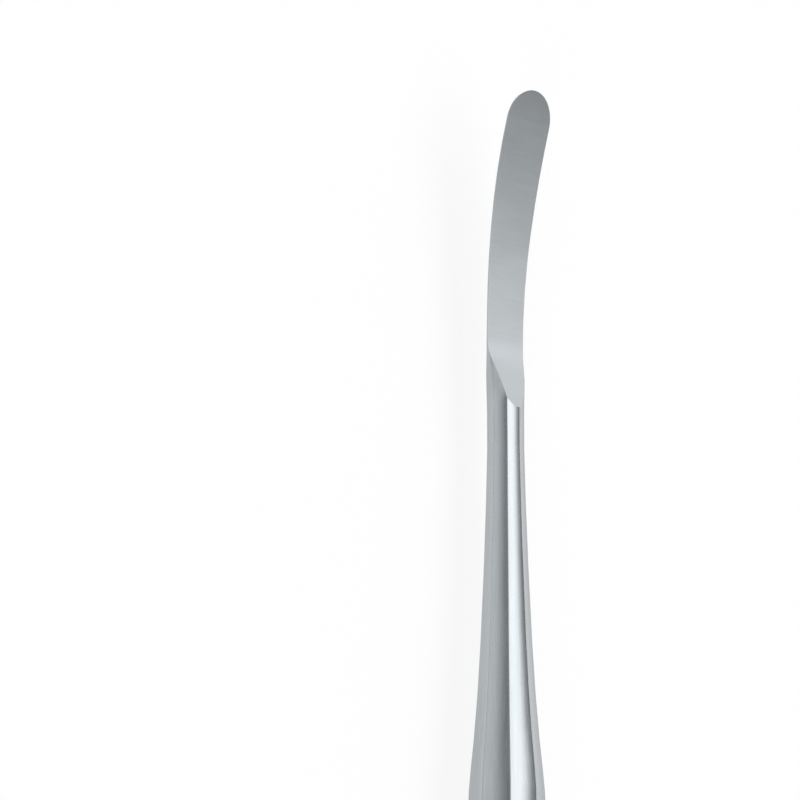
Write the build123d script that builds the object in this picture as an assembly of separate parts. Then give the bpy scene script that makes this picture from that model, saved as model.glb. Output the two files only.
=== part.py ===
from build123d import *
from math import asin, cos, degrees, radians, sin, sqrt, tan
import os

# Double-ended periosteal elevator, forged and ground from one octagonal steel bar.
# It lies along X with its origin at the middle of the handle's resting flat and +Z up.
# The broad round blade is at +X and the small diamond blade is at -X.
# All sizes are in millimetres and all angles in degrees.

# Bar: an eight-sided handle that tapers to a thinner eight-sided shank at each end
OVERALL_LENGTH = 180.0
HANDLE_FLATS = 7.4
HANDLE_LENGTH = 24.0
SIDES = 8

# Shape of each taper, as shares of its length and of its rise from the shank to the handle
TAPER_LEAD = 0.06
TAPER_BELLY_ALONG = 0.97
TAPER_SETTLE = 0.22
DIAMOND_TAPER_BELLY_RISE = 0.56
ROUND_TAPER_BELLY_RISE = 0.46

# Round blade end, with distances measured back from its tip
ROUND_SHANK_FLATS = 3.6
ROUND_TAPER_FROM_TIP = 38.3
ROUND_SHANK_FROM_TIP = 34.1
ROUND_BLADE_LENGTH = 26.5
ROUND_RAMP_ANGLE = 16.0
ROUND_RAMP_BLEND_RADIUS = 10.0
ROUND_ARC_RADIUS = 75.0
ROUND_ROOT_WIDTH = 5.0
ROUND_BLADE_WIDTH = 5.9
ROUND_WIDEST_FROM_TIP = 4.3
ROUND_END_HEIGHT = 3.3
ROUND_ROOT_DEPTH = 1.7
ROUND_TIP_DEPTH = 0.32
ROUND_EDGE = 0.12
ROUND_BACK_FLAT = 0.45
ROUND_ROLL = 15.0

# Diamond blade end, with distances measured back from its tip
DIAMOND_SHANK_FLATS = 2.26
DIAMOND_TAPER_FROM_TIP = 29.0
DIAMOND_SHANK_FROM_TIP = 18.0
DIAMOND_FACE_LENGTH = 16.3
DIAMOND_SCOOP_RADIUS = 32.0
DIAMOND_WIDTH = 4.4
DIAMOND_POINT_HALF_ANGLE = 21.5
DIAMOND_TIP_RADIUS = 0.35
DIAMOND_CORNER_RADIUS = 1.2
DIAMOND_NECK_FROM_TIP = 11.0
DIAMOND_NECK_WIDTH = 2.52
DIAMOND_NECK_CURVE_FROM_TIP = 7.2
DIAMOND_NECK_CURVE_WIDTH = 3.0
DIAMOND_BLANK_WIDTH = 5.0
DIAMOND_BLANK_FROM_TIP = 12.0
DIAMOND_BLANK_FULL_FROM_TIP = 6.0
DIAMOND_CORNER_DEPTH = 0.65
DIAMOND_TIP_DEPTH = 0.3
DIAMOND_EDGE = 0.1
DIAMOND_BACK_FLAT = 0.4

# Blades are forged a little beyond their tips and then ground back to their outlines
FORGED_EXTRA = 0.8

HALF_LENGTH = OVERALL_LENGTH / 2
HALF_SIDE_ANGLE = radians(180 / SIDES)
CLEAR_OF_BAR = 3 * HANDLE_FLATS
SIDE_SHARE = tan(HALF_SIDE_ANGLE)


def between(start, end, share):
    """Value part of the way from start to end."""
    return start + (end - start) * share


def eased(share):
    """Share held between 0 and 1 that starts and stops gently."""
    held = min(1.0, max(0.0, share))
    return held * held * (3 - 2 * held)


def arc_lift(radius, run):
    """Rise of an arc of this radius above its tangent, after this run along the tangent."""
    return radius - sqrt(radius * radius - run * run)


def taper(shank_x, shank_half, handle_x, handle_half, belly_rise):
    """Half-profile of a taper that leaves the shank and meets the handle along the bar's axis."""
    return Bezier(
        (shank_x, shank_half),
        (between(shank_x, handle_x, TAPER_LEAD), shank_half),
        (
            between(shank_x, handle_x, TAPER_BELLY_ALONG),
            between(shank_half, handle_half, belly_rise),
        ),
        (between(handle_x, shank_x, TAPER_SETTLE), handle_half),
        (handle_x, handle_half),
    )


def bar_slab():
    """Slab between two opposite flats of the bar, from the one blade's shank to the other's."""
    handle_half = HANDLE_FLATS / 2
    handle_x = HANDLE_LENGTH / 2
    diamond_half = DIAMOND_SHANK_FLATS / 2
    diamond_end_x = -HALF_LENGTH + DIAMOND_SHANK_FROM_TIP
    diamond_taper_x = -HALF_LENGTH + DIAMOND_TAPER_FROM_TIP
    round_half = ROUND_SHANK_FLATS / 2
    round_end_x = HALF_LENGTH - ROUND_SHANK_FROM_TIP
    round_taper_x = HALF_LENGTH - ROUND_TAPER_FROM_TIP
    upper = [
        Line((diamond_end_x, diamond_half), (diamond_taper_x, diamond_half)),
        taper(diamond_taper_x, diamond_half, -handle_x, handle_half, DIAMOND_TAPER_BELLY_RISE),
        Line((-handle_x, handle_half), (handle_x, handle_half)),
        taper(round_taper_x, round_half, handle_x, handle_half, ROUND_TAPER_BELLY_RISE),
        Line((round_taper_x, round_half), (round_end_x, round_half)),
    ]
    lower = [curve.mirror(Plane.XZ) for curve in upper]
    ends = [
        Line((diamond_end_x, diamond_half), (diamond_end_x, -diamond_half)),
        Line((round_end_x, round_half), (round_end_x, -round_half)),
    ]
    profile = make_face(upper + lower + ends)
    return extrude(profile, HANDLE_FLATS, both=True)


def octagonal_bar():
    """Handle, tapers and shanks: what the slabs of all pairs of flats have in common."""
    slab = bar_slab()
    bar = slab
    for pair in range(1, SIDES // 2):
        bar = bar & slab.rotate(Axis.X, pair * 360 / SIDES)
    return bar


def section(x, half_width, half_depth, half_edge, half_flat, lift, roll):
    """Eight-sided section square to X: two edges, two flats and four bevels, lifted off the axis."""
    quarter = [(half_width, half_edge), (half_flat, half_depth)]
    half = quarter + [(-across, through) for across, through in reversed(quarter)]
    outline = half + [(-across, -through) for across, through in half]
    turn = radians(roll)
    points = []
    for across, through in outline:
        raised = through + lift
        y = across * cos(turn) - raised * sin(turn)
        z = across * sin(turn) + raised * cos(turn)
        points.append((x, y, z))
    return make_face(Polyline(*points, close=True))


def round_section(from_tip):
    """Section of the round blade's blank at this distance from its tip."""
    shank_half = ROUND_SHANK_FLATS / 2
    regular = shank_half * SIDE_SHARE
    shaped = eased((ROUND_SHANK_FROM_TIP - from_tip) / (ROUND_SHANK_FROM_TIP - ROUND_BLADE_LENGTH))
    along = max(0.0, ROUND_BLADE_LENGTH - from_tip)
    widened = eased(along / (ROUND_BLADE_LENGTH - ROUND_WIDEST_FROM_TIP))
    root_half = between(shank_half, ROUND_ROOT_WIDTH / 2, shaped)
    half_width = root_half + widened * (ROUND_BLADE_WIDTH - ROUND_ROOT_WIDTH) / 2
    root_depth = between(shank_half, ROUND_ROOT_DEPTH, shaped)
    half_depth = between(root_depth, ROUND_TIP_DEPTH, along / (ROUND_BLADE_LENGTH + FORGED_EXTRA))
    half_edge = between(regular, ROUND_EDGE, shaped)
    half_flat = between(regular, ROUND_BACK_FLAT * half_width, shaped)
    lift = arc_lift(ROUND_ARC_RADIUS, along)
    x = HALF_LENGTH - from_tip
    return section(x, half_width, half_depth, half_edge, half_flat, lift, ROUND_ROLL * shaped)


def round_blank():
    """Forged blank of the round blade: the bar's section turns, widens, thins and rises to the tip."""
    sections = []
    for share in (0, 0.12, 0.3, 0.5, 0.7, 0.88):
        sections.append(round_section(between(ROUND_SHANK_FROM_TIP, ROUND_BLADE_LENGTH, share)))
    for share in (0, 0.15, 0.35, 0.55, 0.73, 0.87, 1):
        sections.append(round_section(between(ROUND_BLADE_LENGTH, -FORGED_EXTRA, share)))
    return loft(sections)


def round_face_cutter():
    """Stock above the round blade's face: a ramp off the shank, a blend, and a long arc to the tip."""
    root = (HALF_LENGTH - ROUND_BLADE_LENGTH, 0)
    blade_turn = degrees(asin((ROUND_BLADE_LENGTH + 2 * FORGED_EXTRA) / ROUND_ARC_RADIUS))
    blade = JernArc(root, (1, 0), ROUND_ARC_RADIUS, blade_turn)
    blend = JernArc(root, (-1, 0), ROUND_RAMP_BLEND_RADIUS, -ROUND_RAMP_ANGLE)
    foot = blend @ 1
    tip = blade @ 1
    top_x = foot.X - CLEAR_OF_BAR / tan(radians(ROUND_RAMP_ANGLE))
    top_z = foot.Y + CLEAR_OF_BAR
    outer = Polyline((foot.X, foot.Y), (top_x, top_z), (tip.X, top_z), (tip.X, tip.Y))
    region = make_face([blade, blend] + outer.edges())
    stock = extrude(Plane.XZ * region, CLEAR_OF_BAR, both=True)
    return stock.rotate(Axis.X, ROUND_ROLL)


def round_end_cutter():
    """Stock beyond the round blade's half-elliptical end."""
    end_x = HALF_LENGTH - ROUND_END_HEIGHT
    reach = ROUND_END_HEIGHT + 2 * FORGED_EXTRA
    ahead = Pos(end_x + reach / 2, 0) * Rectangle(reach, 2 * ROUND_BLADE_WIDTH)
    rounded = Pos(end_x, 0) * Ellipse(ROUND_END_HEIGHT, ROUND_BLADE_WIDTH / 2)
    stock = extrude(ahead - rounded, CLEAR_OF_BAR, both=True)
    return stock.rotate(Axis.X, ROUND_ROLL)


def diamond_section(from_tip):
    """Section of the diamond blade's blank at this distance from its tip."""
    shank_half = DIAMOND_SHANK_FLATS / 2
    regular = shank_half * SIDE_SHARE
    spread = DIAMOND_BLANK_FROM_TIP - DIAMOND_BLANK_FULL_FROM_TIP
    shaped = eased((DIAMOND_BLANK_FROM_TIP - from_tip) / spread)
    half_width = between(shank_half, DIAMOND_BLANK_WIDTH / 2, shaped)
    thinning = DIAMOND_FACE_LENGTH - DIAMOND_BLANK_FULL_FROM_TIP
    thinned = eased((DIAMOND_FACE_LENGTH - from_tip) / thinning)
    corner_depth = between(shank_half, DIAMOND_CORNER_DEPTH, thinned)
    ahead = max(0.0, DIAMOND_BLANK_FULL_FROM_TIP - from_tip)
    sharpened = ahead / (DIAMOND_BLANK_FULL_FROM_TIP + FORGED_EXTRA)
    half_depth = between(corner_depth, DIAMOND_TIP_DEPTH, sharpened)
    half_edge = between(regular, DIAMOND_EDGE, shaped)
    half_flat = between(regular, DIAMOND_BACK_FLAT * half_width, shaped)
    lift = arc_lift(DIAMOND_SCOOP_RADIUS, max(0.0, DIAMOND_FACE_LENGTH / 2 - from_tip))
    return section(-HALF_LENGTH + from_tip, half_width, half_depth, half_edge, half_flat, lift, 0)


def diamond_blank():
    """Forged blank of the diamond blade: the bar's section widens, thins and rises to the tip."""
    sections = []
    for share in (0, 0.25, 0.6):
        sections.append(diamond_section(between(DIAMOND_SHANK_FROM_TIP, DIAMOND_BLANK_FROM_TIP, share)))
    for share in (0, 0.25, 0.5, 0.75):
        sections.append(
            diamond_section(between(DIAMOND_BLANK_FROM_TIP, DIAMOND_BLANK_FULL_FROM_TIP, share))
        )
    for share in (0, 0.3, 0.6, 1):
        sections.append(diamond_section(between(DIAMOND_BLANK_FULL_FROM_TIP, -FORGED_EXTRA, share)))
    return loft(sections)


def diamond_face_cutter():
    """Stock above the diamond blade's face: the round of one grinding wheel across the shank's top flat."""
    half_chord = DIAMOND_FACE_LENGTH / 2
    lowest = DIAMOND_SHANK_FLATS / 2 - arc_lift(DIAMOND_SCOOP_RADIUS, half_chord)
    wheel_x = -HALF_LENGTH + half_chord
    wheel = Pos(wheel_x, lowest + DIAMOND_SCOOP_RADIUS) * Circle(DIAMOND_SCOOP_RADIUS)
    return extrude(Plane.XZ * wheel, CLEAR_OF_BAR, both=True)


def diamond_outline_cutter():
    """Stock outside the diamond's rounded point, its two corners and its hollow neck."""
    half_angle = radians(DIAMOND_POINT_HALF_ANGLE)
    corner_half = DIAMOND_WIDTH / 2
    sharp_x = -HALF_LENGTH - DIAMOND_TIP_RADIUS * (1 / sin(half_angle) - 1)
    corner_x = sharp_x + corner_half / tan(half_angle)
    neck_x = -HALF_LENGTH + DIAMOND_NECK_FROM_TIP
    neck_half = DIAMOND_NECK_WIDTH / 2
    bend_x = -HALF_LENGTH + DIAMOND_NECK_CURVE_FROM_TIP
    bend_half = DIAMOND_NECK_CURVE_WIDTH / 2
    edges = []
    for side in (1, -1):
        edges.append(Line((sharp_x, 0), (corner_x, side * corner_half)))
        edges.append(
            Bezier(
                (corner_x, side * corner_half),
                (bend_x, side * bend_half),
                (neck_x, side * neck_half),
            )
        )
    edges.append(Line((neck_x, neck_half), (neck_x, -neck_half)))
    diamond = make_face(edges)
    point = diamond.vertices().sort_by(Axis.X)[0]
    diamond = fillet(point, DIAMOND_TIP_RADIUS)
    corners = diamond.vertices().filter_by(lambda v: abs(v.X - corner_x) < 0.01)
    diamond = fillet(corners, DIAMOND_CORNER_RADIUS)
    reach = neck_x + HALF_LENGTH + 2 * FORGED_EXTRA
    around = Pos(neck_x - reach / 2, 0) * Rectangle(reach, 2 * DIAMOND_BLANK_WIDTH)
    return extrude(around - diamond, CLEAR_OF_BAR, both=True)


round_blade = round_blank() - round_face_cutter() - round_end_cutter()
diamond_blade = diamond_blank() - diamond_face_cutter() - diamond_outline_cutter()
elevator = octagonal_bar() + round_blade + diamond_blade
elevator = Pos(0, 0, HANDLE_FLATS / 2) * elevator

os.makedirs("parts", exist_ok=True)
export_step(elevator, "parts/elevator_body.step")
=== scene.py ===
"""Studio picture of a double-ended periosteal elevator lying on a pale floor.

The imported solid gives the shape. A copy of it, with hollow ground flats and softened ridges, carries the
finishes: satin ground shanks and handle, and finely lapped faces on the two blades. All sizes are in
metres.
"""

import logging
import math
from dataclasses import dataclass, field
from enum import Enum
from typing import Any, Optional, Union

import bpy
from mathutils import Matrix, Vector


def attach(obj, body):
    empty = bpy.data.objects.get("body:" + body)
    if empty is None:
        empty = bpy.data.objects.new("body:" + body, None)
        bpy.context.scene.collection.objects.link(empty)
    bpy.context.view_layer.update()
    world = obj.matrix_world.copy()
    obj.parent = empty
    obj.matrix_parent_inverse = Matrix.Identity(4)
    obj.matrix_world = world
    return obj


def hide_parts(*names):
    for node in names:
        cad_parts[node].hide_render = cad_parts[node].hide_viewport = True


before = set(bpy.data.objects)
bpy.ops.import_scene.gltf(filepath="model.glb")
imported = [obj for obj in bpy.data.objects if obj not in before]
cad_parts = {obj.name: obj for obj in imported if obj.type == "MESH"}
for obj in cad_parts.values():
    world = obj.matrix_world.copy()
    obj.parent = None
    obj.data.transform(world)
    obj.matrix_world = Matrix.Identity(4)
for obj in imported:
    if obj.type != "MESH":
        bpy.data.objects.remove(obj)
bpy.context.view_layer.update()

LOG = logging.getLogger("elevator")
MM = 0.001

Number = Union[int, float]
Operand = Union["Value", Number]


class Value:
    """A node's number output that can be used in plain arithmetic.

    Each operator adds one Math node to the tree that the output belongs to.
    """

    def __init__(self, book: "NodeBook", socket: bpy.types.NodeSocket) -> None:
        """Keep the tree's book and the output socket."""
        self.book = book
        self.socket = socket

    def _math(self, operation: str, *operands: Operand) -> "Value":
        """Add a Math node.

        Args:
            operation: the Math node's operation.
            operands: values or numbers for its inputs, in order.

        Returns:
            The node's output.
        """
        inputs = {index: operand for index, operand in enumerate(operands)}
        return self.book.node("ShaderNodeMath", {"operation": operation}, inputs)

    def __add__(self, other: Operand) -> "Value":
        """Sum."""
        return self._math("ADD", self, other)

    def __radd__(self, other: Operand) -> "Value":
        """Sum with a number on the left."""
        return self._math("ADD", other, self)

    def __sub__(self, other: Operand) -> "Value":
        """Difference."""
        return self._math("SUBTRACT", self, other)

    def __rsub__(self, other: Operand) -> "Value":
        """Difference from a number on the left."""
        return self._math("SUBTRACT", other, self)

    def __mul__(self, other: Operand) -> "Value":
        """Product."""
        return self._math("MULTIPLY", self, other)

    def __rmul__(self, other: Operand) -> "Value":
        """Product with a number on the left."""
        return self._math("MULTIPLY", other, self)

    def __truediv__(self, other: Operand) -> "Value":
        """Quotient."""
        return self._math("DIVIDE", self, other)

    def __pow__(self, other: Operand) -> "Value":
        """Power."""
        return self._math("POWER", self, other)

    def smooth(self, low: float, high: float) -> "Value":
        """Ease from 0 at low to 1 at high.

        Args:
            low: value at which the result is 0.
            high: value at which the result is 1.

        Returns:
            The eased value.
        """
        settings = {"interpolation_type": "SMOOTHSTEP"}
        inputs = {"Value": self, "From Min": low, "From Max": high}
        return self.book.node("ShaderNodeMapRange", settings, inputs)

    def larger(self, other: Operand) -> "Value":
        """The larger of two values."""
        return self._math("MAXIMUM", self, other)

    def size(self) -> "Value":
        """The value without its sign."""
        return self._math("ABSOLUTE", self)

    def fraction(self) -> "Value":
        """The part after the decimal point."""
        return self._math("FRACT", self)

    def sine(self) -> "Value":
        """Sine of an angle in radians."""
        return self._math("SINE", self)

    def cosine(self) -> "Value":
        """Cosine of an angle in radians."""
        return self._math("COSINE", self)

    def angle_over(self, other: "Value") -> "Value":
        """The angle whose tangent is this value over the other, with the signs of both."""
        return self._math("ARCTAN2", self, other)


class NodeBook:
    """Adds nodes and links to one shader tree."""

    def __init__(self, tree: bpy.types.NodeTree) -> None:
        """Empty the tree and keep it."""
        tree.nodes.clear()
        self.tree = tree

    def node(
        self,
        kind: str,
        settings: Optional[dict[str, Any]] = None,
        inputs: Optional[dict[Union[str, int], Any]] = None,
        output: Union[str, int] = 0,
    ) -> Value:
        """Add one node.

        Args:
            kind: the node's type.
            settings: properties of the node, set before its sockets.
            inputs: numbers, colours or links by socket name or place.
            output: name or place of the output to return.

        Returns:
            That output.
        """
        made = self.tree.nodes.new(kind)
        for name, setting in (settings or {}).items():
            setattr(made, name, setting)
        for name, given in (inputs or {}).items():
            if isinstance(given, Value):
                self.tree.links.new(given.socket, made.inputs[name])
            else:
                made.inputs[name].default_value = given
        return Value(self, made.outputs[output] if len(made.outputs) else None)

    def mix_colour(self, share: Operand, first: Any, second: Any) -> Value:
        """Mix two colours.

        Args:
            share: how much of the second colour there is.
            first: the colour at 0.
            second: the colour at 1.

        Returns:
            The mixed colour.
        """
        inputs = {"Factor": share, 6: first, 7: second}
        return self.node("ShaderNodeMix", {"data_type": "RGBA"}, inputs, 2)

    def stretched(self, place: Value, scale: tuple[float, float, float]) -> Value:
        """Scale a place, for a pattern that is longer one way than another.

        Args:
            place: the coordinates.
            scale: how many repeats of the pattern there are to a metre, each way.

        Returns:
            The scaled coordinates.
        """
        return self.node("ShaderNodeMapping", None, {"Vector": place, "Scale": scale})

    def noise(self, place: Value, detail: float = 2.0, roughness: float = 0.5) -> Value:
        """Noise between 0 and 1 at a scale of one repeat to a unit.

        Args:
            place: the coordinates.
            detail: how many finer layers there are.
            roughness: how strong the finer layers are.

        Returns:
            The noise.
        """
        inputs = {"Vector": place, "Scale": 1.0, "Detail": detail, "Roughness": roughness}
        return self.node("ShaderNodeTexNoise", None, inputs)


@dataclass(frozen=True)
class BarForm:
    """The eight-sided bar that the handle and shanks are ground on.

    Attributes:
        sides: number of flats.
        axis_height: height of its axis above the floor.
        diamond_shank_x: where the flats end at the diamond blade.
        round_shank_x: where the flats end at the round blade.
        fade: length over which the last of the hollow grinding dies away there.
        hollow: how deep each flat is hollow ground, as a share of its distance from the axis.
        diamond_hollow_x: where the hollows of the mesh end, short of the diamond blade.
        round_hollow_x: where they end short of the round blade.
        run_out: length over which they run out there.
        cuts: lines along each half of a flat, as shares of its half width.
        steps: lengths that each run-out is cut into.
        end_spare: how far inside its ends a point of the bar must lie.
        ridge_share: share of a flat's half angle past which a point lies on a ridge.
    """

    sides: int = 8
    axis_height: float = 3.7 * MM
    diamond_shank_x: float = -72.0 * MM
    round_shank_x: float = 55.9 * MM
    fade: float = 2.5 * MM
    hollow: float = 0.21
    diamond_hollow_x: float = -71.6 * MM
    round_hollow_x: float = 54.8 * MM
    run_out: float = 3.0 * MM
    cuts: tuple[float, ...] = (0.25, 0.5, 0.72)
    steps: int = 5
    end_spare: float = 0.01 * MM
    ridge_share: float = 0.985

    @property
    def half_side(self) -> float:
        """Half the angle that a flat takes up about the axis."""
        return math.pi / self.sides

    @property
    def axis(self) -> Vector:
        """The point of the axis at mid-length."""
        return Vector((0.0, 0.0, self.axis_height))

    def hollow_share(self, along: float) -> float:
        """Share of the full hollow that the mesh has at a place along the bar.

        Args:
            along: the place's X.

        Returns:
            1 along the bar, easing to 0 at both blades.
        """
        inside = min(along - self.diamond_hollow_x, self.round_hollow_x - along) / self.run_out
        eased = min(max(inside, 0.0), 1.0)
        return eased * eased * (3.0 - 2.0 * eased)

    def off_middle(self, place: Vector) -> tuple[float, float]:
        """Find the flat that a place belongs to.

        Args:
            place: a point of the bar.

        Returns:
            The angle of the flat's middle about the axis, and how far the place is off it, in radians.
        """
        turn = math.atan2(place.z - self.axis_height, place.y)
        middle = 2.0 * self.half_side * round(turn / (2.0 * self.half_side))
        return middle, turn - middle

    def holds(self, place: Vector) -> bool:
        """Tell whether a point of the instrument lies on the bar.

        Args:
            place: the point.

        Returns:
            True between the rings where the flats end.
        """
        return self.diamond_shank_x + self.end_spare < place.x < self.round_shank_x - self.end_spare

    def on_ridge(self, place: Vector) -> bool:
        """Tell whether a point of the bar lies on one of its ridges.

        Args:
            place: the point.

        Returns:
            True where it does.
        """
        return abs(self.off_middle(place)[1]) > self.ridge_share * self.half_side


BAR = BarForm()


class Kind(Enum):
    """Kinds of element that can be selected in a mesh."""

    CORNER = "vertices"
    EDGE = "edges"
    FACE = "polygons"


class Region(Enum):
    """Regions of the instrument that are finished in different ways."""

    SATIN = "satin_steel"
    LAPPED = "lapped_steel"


@dataclass(frozen=True)
class SteelFinish:
    """Stainless steel ground along one direction.

    Attributes:
        region: where the finish goes.
        tint: the steel's own colour.
        pale: the colour of the paler streaks.
        roughness: the mean roughness.
        roughness_spread: how far the streaks change it.
        grain: repeats of the grinding lines to a metre along X, Y and Z.
        grain_depth: height of the grinding lines.
        speckle_depth: height of the fine grit marks.
        speckle: repeats of the grit marks to a metre.
        speckle_spread: how far they change the roughness.
        clouds: repeats of the broad clouds to a metre along X, Y and Z.
        cloud_share: share of the clouds in the streaks, beside the grinding lines.
        streak_range: where the streaks' noise goes from the one colour to the other.
        on_flats: whether the finish carries the flats' hollows on from the mesh to the blades.
    """

    region: Region
    tint: tuple[float, float, float, float]
    pale: tuple[float, float, float, float]
    roughness: float
    roughness_spread: float
    grain: tuple[float, float, float]
    grain_depth: float
    speckle_depth: float
    speckle: tuple[float, float, float] = (4200.0, 4200.0, 4200.0)
    speckle_spread: float = 0.025
    clouds: tuple[float, float, float] = (70.0, 220.0, 220.0)
    cloud_share: float = 0.4
    streak_range: tuple[float, float] = (0.35, 0.65)
    on_flats: bool = False

    def hollow_height(self, book: NodeBook, place: Value) -> Value:
        """Height of the shallow end of the hollow grinding, between the mesh's own hollows and the blades.

        Args:
            book: the material's nodes.
            place: coordinates on the piece.

        Returns:
            Nothing in the middle of each flat and more towards its edges.
        """
        apart = book.node("ShaderNodeSeparateXYZ", None, {0: place})
        along = Value(book, apart.socket.node.outputs["X"])
        across = Value(book, apart.socket.node.outputs["Y"])
        above = Value(book, apart.socket.node.outputs["Z"]) - BAR.axis_height
        side = 2.0 * BAR.half_side
        turn = above.angle_over(across) / side + 0.5
        off_middle = ((turn + BAR.sides).fraction() - 0.5) * side
        reach = (across * across + above * above) ** 0.5
        slant = off_middle.sine()
        height = reach * slant * slant / off_middle.cosine() * BAR.hollow
        ground = along.smooth(BAR.diamond_shank_x - BAR.fade, BAR.diamond_shank_x)
        ground = ground * (1.0 - along.smooth(BAR.round_shank_x, BAR.round_shank_x + BAR.fade))
        in_mesh = along.smooth(BAR.diamond_hollow_x, BAR.diamond_hollow_x + BAR.run_out)
        in_mesh = in_mesh * (1.0 - along.smooth(BAR.round_hollow_x - BAR.run_out, BAR.round_hollow_x))
        return height * (ground - in_mesh)

    def material(self) -> bpy.types.Material:
        """Make the material.

        Returns:
            The steel, with grain, streaks and grit from its nodes.
        """
        made = bpy.data.materials.new(self.region.value)
        made.use_nodes = True
        book = NodeBook(made.node_tree)
        place = book.node("ShaderNodeTexCoord", None, None, "Object")
        lines = book.noise(book.stretched(place, self.grain), detail=3.0, roughness=0.6)
        grit = book.noise(book.stretched(place, self.speckle))
        clouds = book.noise(book.stretched(place, self.clouds))
        streaks = lines * (1.0 - self.cloud_share) + clouds * self.cloud_share
        colour = book.mix_colour(streaks.smooth(*self.streak_range), self.tint, self.pale)
        rough = self.roughness + (streaks - 0.5) * (2.0 * self.roughness_spread)
        rough = rough + (grit - 0.5) * (2.0 * self.speckle_spread)
        height = lines * self.grain_depth + grit * self.speckle_depth
        if self.on_flats:
            height = height + self.hollow_height(book, place)
        bump = book.node("ShaderNodeBump", None, {"Height": height, "Strength": 1.0, "Distance": 1.0})
        inputs = {"Base Color": colour, "Metallic": 1.0, "Roughness": rough, "Normal": bump}
        surface = book.node("ShaderNodeBsdfPrincipled", None, inputs)
        book.node("ShaderNodeOutputMaterial", None, {"Surface": surface})
        return made


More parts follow.
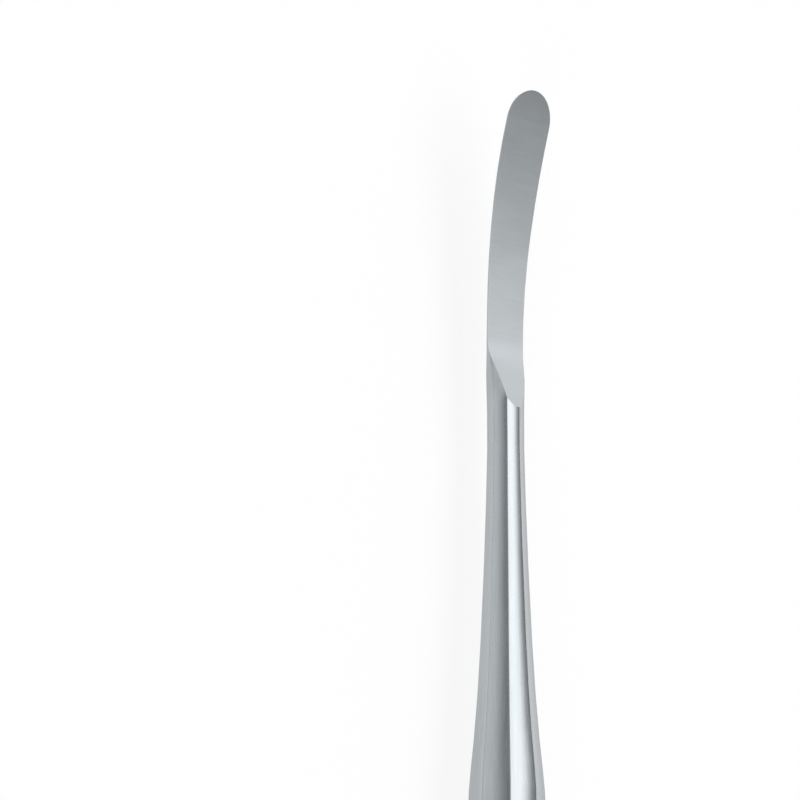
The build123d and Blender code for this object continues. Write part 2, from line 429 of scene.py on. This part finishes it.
@dataclass
class ElevatorBody:
    """The one-piece steel instrument, made from a copy of its solid.

    Attributes:
        node: the solid that the copy stands for.
        half_length: from mid-length to each tip.
        merge: corners of the solid's triangles that are nearer than this are one.
        ring_gap: least distance between two cuts across the bar at the corners along its ridges.
        cut_spare: how far a face may reach out of the stretch that is cut.
        cut_snap: corners nearer to a cut than this are taken as on it.
        edge_softening: how far the ridges between the flats are rounded back from their corners.
        softening_steps: narrow faces that round each ridge.
        smoothing: edges of the blades sharper than this stay crisp in the shading.
        crease: edges of the bar sharper than this are its ridges.
        flat_spread: faces of the bar that look this near to a flat's own direction belong to that flat.
        round_face_length: from the round tip to where its face begins to rise in a ramp to the shank.
        round_roll: turn of the round face about the bar's axis.
        diamond_face_length: from the diamond's tip to where its face runs out on the shank.
        face_slope: least share of a face's direction that a face of the mesh must have.
        ramp_slope: least share of +X in the direction of the ramp between the round face and the shank.
    """

    node: str = "elevator_body"
    half_length: float = 90.0 * MM
    merge: float = 0.01 * MM
    ring_gap: float = 0.05 * MM
    cut_spare: float = 0.003 * MM
    cut_snap: float = 0.002 * MM
    edge_softening: float = 0.04 * MM
    softening_steps: int = 3
    smoothing: float = math.radians(7.0)
    crease: float = math.radians(20.0)
    flat_spread: float = math.radians(4.0)
    round_face_length: float = 29.5 * MM
    round_roll: float = math.radians(15.0)
    diamond_face_length: float = 16.3 * MM
    face_slope: float = 0.9
    ramp_slope: float = 0.1
    finishes: tuple[SteelFinish, ...] = field(default_factory=tuple)

    def copy_of_solid(self) -> bpy.types.Object:
        """Copy the solid's mesh into a piece of its own.

        Returns:
            The copy, with its triangles joined.
        """
        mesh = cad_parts[self.node].data.copy()
        mesh.name = "elevator"
        mesh.materials.clear()
        piece = bpy.data.objects.new("elevator", mesh)
        bpy.context.scene.collection.objects.link(piece)
        bpy.ops.object.select_all(action="DESELECT")
        piece.select_set(True)
        bpy.context.view_layer.objects.active = piece
        bpy.ops.mesh.customdata_custom_splitnormals_clear()
        bpy.ops.object.mode_set(mode="EDIT")
        bpy.ops.mesh.select_all(action="SELECT")
        bpy.ops.mesh.remove_doubles(threshold=self.merge)
        bpy.ops.object.mode_set(mode="OBJECT")
        return piece

    @staticmethod
    def select(mesh: bpy.types.Mesh, kind: Kind, wanted: list[bool]) -> None:
        """Go into edit mode with some of a mesh's elements selected.

        Args:
            mesh: the active piece's mesh.
            kind: the kind of element.
            wanted: for each element of that kind, whether it is selected.
        """
        bpy.context.tool_settings.mesh_select_mode = [kind is each for each in Kind]
        for group in (mesh.vertices, mesh.edges, mesh.polygons):
            group.foreach_set("select", [False] * len(group))
        getattr(mesh, kind.value).foreach_set("select", wanted)
        bpy.ops.object.mode_set(mode="EDIT")

    def square_up(self, piece: bpy.types.Object) -> None:
        """Turn the loose triangles of the bar's flats into neat quads from ridge to ridge.

        Args:
            piece: the copy of the solid.
        """
        mesh = piece.data
        inner = [BAR.holds(vertex.co) and not BAR.on_ridge(vertex.co) for vertex in mesh.vertices]
        self.select(mesh, Kind.CORNER, inner)
        bpy.ops.mesh.dissolve_verts()
        bpy.ops.object.mode_set(mode="OBJECT")
        across = []
        for edge in mesh.edges:
            start, end = (mesh.vertices[index].co for index in edge.vertices)
            middle = (start + end) / 2.0
            across.append((BAR.holds(start) or BAR.holds(end)) and not BAR.on_ridge(middle))
        self.select(mesh, Kind.EDGE, across)
        bpy.ops.mesh.dissolve_edges(use_verts=False)
        bpy.ops.object.mode_set(mode="OBJECT")
        rings = sorted(vertex.co.x for vertex in mesh.vertices if BAR.holds(vertex.co))
        last = BAR.diamond_shank_x
        for ring in rings:
            if ring - last > self.ring_gap:
                self.cut_across(piece, ring)
                last = ring

    def cut_across(self, piece: bpy.types.Object, along: float) -> None:
        """Cut all faces across the bar at one place, and leave them joined.

        Args:
            piece: the copy of the solid.
            along: the place's X.
        """
        self.select(piece.data, Kind.FACE, [True] * len(piece.data.polygons))
        point = Vector((along, 0.0, 0.0))
        bpy.ops.mesh.bisect(plane_co=point, plane_no=Vector((1.0, 0.0, 0.0)), threshold=self.cut_snap)
        bpy.ops.object.mode_set(mode="OBJECT")

    def cut_along(self, piece: bpy.types.Object, turn: float) -> None:
        """Cut the bar between the ends of its hollows along a plane through its axis.

        Args:
            piece: the copy of the solid.
            turn: the plane's angle about the axis.
        """
        mesh = piece.data
        low = BAR.diamond_hollow_x - self.cut_spare
        high = BAR.round_hollow_x + self.cut_spare
        inside = [low <= vertex.co.x <= high for vertex in mesh.vertices]
        wanted = [all(inside[index] for index in face.vertices) for face in mesh.polygons]
        self.select(mesh, Kind.FACE, wanted)
        normal = Vector((0.0, -math.sin(turn), math.cos(turn)))
        bpy.ops.mesh.bisect(plane_co=BAR.axis, plane_no=normal, threshold=self.cut_snap)
        bpy.ops.object.mode_set(mode="OBJECT")

    def soften(self, piece: bpy.types.Object) -> None:
        """Round the ridges between the bar's flats a little. The blades' edges stay crisp.

        Args:
            piece: the copy of the solid.
        """
        mesh = piece.data
        turns: dict[tuple[int, int], list[Vector]] = {}
        for face in mesh.polygons:
            for pair in face.edge_keys:
                turns.setdefault(pair, []).append(face.normal)
        weights = mesh.attributes.new("bevel_weight_edge", "FLOAT", "EDGE")
        for edge in mesh.edges:
            start, end = (mesh.vertices[index].co for index in edge.vertices)
            sides = turns[edge.key]
            lengthwise = abs((end - start).normalized().x) > self.face_slope
            inside = BAR.holds((start + end) / 2.0)
            if lengthwise and inside and len(sides) == 2 and sides[0].angle(sides[1]) > self.crease:
                weights.data[edge.index].value = 1.0
        bevel = piece.modifiers.new("softened ridges", "BEVEL")
        bevel.width = self.edge_softening
        bevel.segments = self.softening_steps
        bevel.limit_method = "WEIGHT"
        bevel.use_clamp_overlap = False
        bpy.ops.object.modifier_apply(modifier=bevel.name)

    def strip_flats(self, piece: bpy.types.Object) -> None:
        """Cut the bar's flats into strips along it, and across it where the hollows run out.

        Args:
            piece: the softened copy.
        """
        for end, inward in ((BAR.diamond_hollow_x, 1.0), (BAR.round_hollow_x, -1.0)):
            for step in range(BAR.steps + 1):
                self.cut_across(piece, end + inward * BAR.run_out * step / BAR.steps)
        edge = math.tan(BAR.half_side)
        lines = [0.0]
        for share in BAR.cuts:
            lines += [math.atan(share * edge), -math.atan(share * edge)]
        for flat in range(BAR.sides // 2):
            for line in lines:
                self.cut_along(piece, 2.0 * BAR.half_side * flat + line)
        many = [len(face.vertices) > 4 for face in piece.data.polygons]
        self.select(piece.data, Kind.FACE, many)
        bpy.ops.mesh.quads_convert_to_tris(ngon_method="BEAUTY")
        bpy.ops.object.mode_set(mode="OBJECT")

    def smooth(self, piece: bpy.types.Object) -> None:
        """Smooth the softened bar, and the blades between their edges.

        Args:
            piece: the softened copy.
        """
        mesh = piece.data
        bpy.ops.object.shade_smooth_by_angle(angle=self.smoothing)
        for edge in mesh.edges:
            if all(BAR.holds(mesh.vertices[index].co) for index in edge.vertices):
                edge.use_edge_sharp = False
        weighted = piece.modifiers.new("even shading", "WEIGHTED_NORMAL")
        weighted.keep_sharp = True
        bpy.ops.object.modifier_apply(modifier=weighted.name)

    def sink_flats(self, piece: bpy.types.Object) -> None:
        """Sink the strips of the flats into shallow hollows, and tilt their shading to match.

        Args:
            piece: the smoothed copy with its flats in strips.
        """
        mesh = piece.data
        normals = [Vector(corner.vector) for corner in mesh.corner_normals]
        for face in mesh.polygons:
            middle, _ = BAR.off_middle(face.center)
            out = Vector((0.0, math.cos(middle), math.sin(middle)))
            across = Vector((0.0, -math.sin(middle), math.cos(middle)))
            if not BAR.holds(face.center) or abs(face.normal.dot(across)) > math.sin(self.flat_spread):
                continue
            for corner in face.loop_indices:
                place = mesh.vertices[mesh.loops[corner].vertex_index].co
                slant = across.dot(place - BAR.axis) / out.dot(place - BAR.axis)
                tilt = 2.0 * BAR.hollow * slant * BAR.hollow_share(place.x)
                taper = normals[corner].x
                sideways = math.sqrt(1.0 - taper**2) * (out - across * tilt)
                normals[corner] = (Vector((taper, 0.0, 0.0)) + sideways).normalized()
        edge = math.tan(BAR.half_side)
        for vertex in mesh.vertices:
            middle, off = BAR.off_middle(vertex.co)
            out = Vector((0.0, math.cos(middle), math.sin(middle)))
            reach = out.dot(vertex.co - BAR.axis)
            depth = BAR.hollow * reach * (edge**2 - math.tan(off) ** 2)
            vertex.co -= out * depth * BAR.hollow_share(vertex.co.x)
        mesh.normals_split_custom_set(normals)

    def on_round_face(self, centre: Vector, normal: Vector) -> bool:
        """Tell whether a face of the mesh lies on the round blade's working face.

        Args:
            centre: the middle of the face.
            normal: the way it looks.

        Returns:
            True where it does.
        """
        out = Vector((0.0, -math.sin(self.round_roll), math.cos(self.round_roll)))
        beyond_ramp = centre.x > self.half_length - self.round_face_length
        on_ramp = centre.x > BAR.round_shank_x and normal.x > self.ramp_slope
        return (beyond_ramp or on_ramp) and normal.dot(out) > self.face_slope

    def on_diamond_face(self, centre: Vector, normal: Vector) -> bool:
        """Tell whether a face of the mesh lies on the diamond blade's working face.

        Args:
            centre: the middle of the face.
            normal: the way it looks.

        Returns:
            True where it does.
        """
        run = centre.x + self.half_length
        return run < self.diamond_face_length and normal.z > self.face_slope

    def dress(self, piece: bpy.types.Object) -> None:
        """Give the shanks, handle and backs one finish and the working faces the other.

        Args:
            piece: the softened copy.
        """
        places = {}
        for finish in self.finishes:
            places[finish.region] = len(piece.data.materials)
            piece.data.materials.append(finish.material())
        for face in piece.data.polygons:
            centre = Vector(face.center)
            normal = Vector(face.normal)
            lapped = self.on_round_face(centre, normal) or self.on_diamond_face(centre, normal)
            face.material_index = places[Region.LAPPED if lapped else Region.SATIN]

    def build(self) -> bpy.types.Object:
        """Make the piece and put it in the solid's place.

        Returns:
            The finished piece.
        """
        piece = self.copy_of_solid()
        self.square_up(piece)
        self.soften(piece)
        self.strip_flats(piece)
        self.smooth(piece)
        self.sink_flats(piece)
        self.dress(piece)
        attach(piece, "root")
        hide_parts(self.node)
        return piece


@dataclass(frozen=True)
class StripBox:
    """A long softbox on the studio's dome that runs the way the instrument lies.

    Attributes:
        rise: angle of its middle about the instrument's axis, in degrees up from the near horizon.
        even: half the angle over which it is even, in degrees.
        fade: half the angle at which it has faded out, in degrees.
        begin: share of +X in a direction where it begins and where it is full.
        stop: share of +X in a direction where it starts to fade and where it ends.
        change: how much brighter it is than the dome.
    """

    rise: float
    even: float
    fade: float
    begin: tuple[float, float]
    stop: tuple[float, float]
    change: float

    def strength(self, along: Value, around: Value) -> Value:
        """Brightness that the softbox adds.

        Args:
            along: share of +X in the direction looked in.
            around: angle of that direction about the instrument's axis, in degrees.

        Returns:
            The added brightness.
        """
        share = 1.0 - (around - self.rise).size().smooth(self.even, self.fade)
        share = share * along.smooth(*self.begin) * (1.0 - along.smooth(*self.stop))
        return share * self.change


@dataclass
class Studio:
    """Pale floor and a soft dome with long softboxes.

    Attributes:
        floor_half: half the floor's side.
        floor_colour: the floor's own colour.
        floor_lift: share of plain white that the camera and the steel see in the floor.
        floor_glow: brightness of that white.
        dome: brightness of the dome all round.
        backdrop: elevations, in degrees, over which the low white backdrop behind the floor ends.
        strips: softboxes on the dome.
    """

    floor_half: float = 40.0
    floor_colour: tuple[float, float, float, float] = (0.9, 0.905, 0.91, 1.0)
    floor_lift: float = 0.78
    floor_glow: float = 1.1
    dome: float = 0.15
    backdrop: tuple[float, float] = (2.6, 3.2)
    strips: tuple[StripBox, ...] = ()

    def floor(self) -> bpy.types.Object:
        """Lay the floor.

        Returns:
            The floor.
        """
        bpy.ops.object.select_all(action="DESELECT")
        bpy.ops.mesh.primitive_plane_add(size=2 * self.floor_half)
        floor = bpy.context.active_object
        floor.name = "floor"
        material = bpy.data.materials.new("pale_floor")
        material.use_nodes = True
        book = NodeBook(material.node_tree)
        matt = book.node("ShaderNodeBsdfDiffuse", None, {"Color": self.floor_colour})
        white = book.node("ShaderNodeEmission", None, {"Strength": self.floor_glow})
        camera = book.node("ShaderNodeLightPath", None, None, "Is Camera Ray")
        glossy = book.node("ShaderNodeLightPath", None, None, "Is Glossy Ray")
        through = book.node("ShaderNodeLightPath", None, None, "Is Transmission Ray")
        seen = camera.larger(glossy).larger(through) * self.floor_lift
        mixed = book.node("ShaderNodeMixShader", None, {0: seen, 1: matt, 2: white})
        book.node("ShaderNodeOutputMaterial", None, {"Surface": mixed})
        floor.data.materials.append(material)
        return floor

    def light(self) -> None:
        """Light the scene with a soft dome and the long softboxes that the steel shows."""
        world = bpy.data.worlds.new("studio")
        world.use_nodes = True
        bpy.context.scene.world = world
        book = NodeBook(world.node_tree)
        ray = book.node("ShaderNodeTexCoord", None, None, "Generated")
        apart = book.node("ShaderNodeSeparateXYZ", None, {0: ray})
        along = Value(book, apart.socket.node.outputs["X"])
        across = Value(book, apart.socket.node.outputs["Y"])
        above = Value(book, apart.socket.node.outputs["Z"])
        around = above.angle_over(0.0 - across) * math.degrees(1.0)
        strength: Operand = self.dome
        for strip in self.strips:
            strength = strip.strength(along, around) + strength
        low, high = (math.sin(math.radians(rise)) for rise in self.backdrop)
        clear = above.smooth(low, high)
        strength = strength * clear + (1.0 - clear)
        inputs = {"Color": (1.0, 1.0, 1.0, 1.0), "Strength": strength}
        glow = book.node("ShaderNodeBackground", None, inputs)
        book.node("ShaderNodeOutputWorld", None, {"Surface": glow})
        bpy.context.scene.view_settings.view_transform = "Standard"


@dataclass
class CloseCamera:
    """Camera over the round blade, at the photograph's angle and scale.

    Attributes:
        aim: the point in the middle of the picture.
        towards: from that point to the camera.
        upward: the picture's upright direction.
        distance: from that point to the camera.
        width_seen: width of what is seen at the aim.
        near: what is nearer to the camera than this isn't drawn.
    """

    aim: Vector = field(default_factory=lambda: Vector((57.09, 9.78, -1.32)) * MM)
    towards: Vector = field(default_factory=lambda: Vector((-0.30902, 0.43177, 0.84740)))
    upward: Vector = field(default_factory=lambda: Vector((0.95106, 0.14029, 0.27534)))
    distance: float = 1000.0 * MM
    width_seen: float = 83.33 * MM
    near: float = 10.0 * MM

    def place(self) -> bpy.types.Object:
        """Put the camera in the scene.

        Returns:
            The camera.
        """
        data = bpy.data.cameras.new("close camera")
        data.sensor_fit = "HORIZONTAL"
        data.lens = data.sensor_width * self.distance / self.width_seen
        data.clip_start = self.near
        camera = bpy.data.objects.new("close camera", data)
        bpy.context.scene.collection.objects.link(camera)
        away = self.towards.normalized()
        side = self.upward.cross(away).normalized()
        upright = away.cross(side)
        turn = Matrix((side, upright, away)).transposed().to_4x4()
        camera.matrix_world = Matrix.Translation(self.aim + away * self.distance) @ turn
        bpy.context.scene.camera = camera
        return camera


def main() -> None:
    """Build the instrument, the studio and the camera, and log the face count, the floor's name and the
    lens.
    """
    logging.basicConfig(level=logging.INFO)
    satin = SteelFinish(
        region=Region.SATIN,
        tint=(0.412, 0.44, 0.454, 1.0),
        pale=(0.458, 0.488, 0.503, 1.0),
        roughness=0.26,
        roughness_spread=0.06,
        grain=(90.0, 3800.0, 3800.0),
        grain_depth=0.0012 * MM,
        speckle_depth=0.0008 * MM,
        on_flats=True,
    )
    lapped = SteelFinish(
        region=Region.LAPPED,
        tint=(0.43, 0.459, 0.474, 1.0),
        pale=(0.445, 0.474, 0.489, 1.0),
        roughness=0.24,
        roughness_spread=0.02,
        grain=(3600.0, 260.0, 260.0),
        grain_depth=0.0002 * MM,
        speckle_depth=0.0003 * MM,
    )
    elevator = ElevatorBody(finishes=(satin, lapped)).build()
    LOG.info("elevator: %d faces", len(elevator.data.polygons))
    studio = Studio(
        strips=(
            StripBox(54.5, 8.0, 21.5, (-1.0, 0.0), (0.85, 1.0), 2.1),
            StripBox(25.0, 8.0, 22.0, (-0.12, 0.5), (0.85, 1.0), 1.17),
            StripBox(132.0, 8.0, 44.0, (-0.1, 0.25), (0.85, 1.0), 0.9),
            StripBox(130.0, 10.0, 24.0, (-1.0, -0.85), (-0.7, -0.45), 1.0),
        )
    )
    floor = studio.floor()
    studio.light()
    LOG.info("stage: %s", floor.name)
    camera = CloseCamera().place()
    LOG.info("camera: lens %.1f mm", camera.data.lens)


if __name__ == "__main__":
    main()
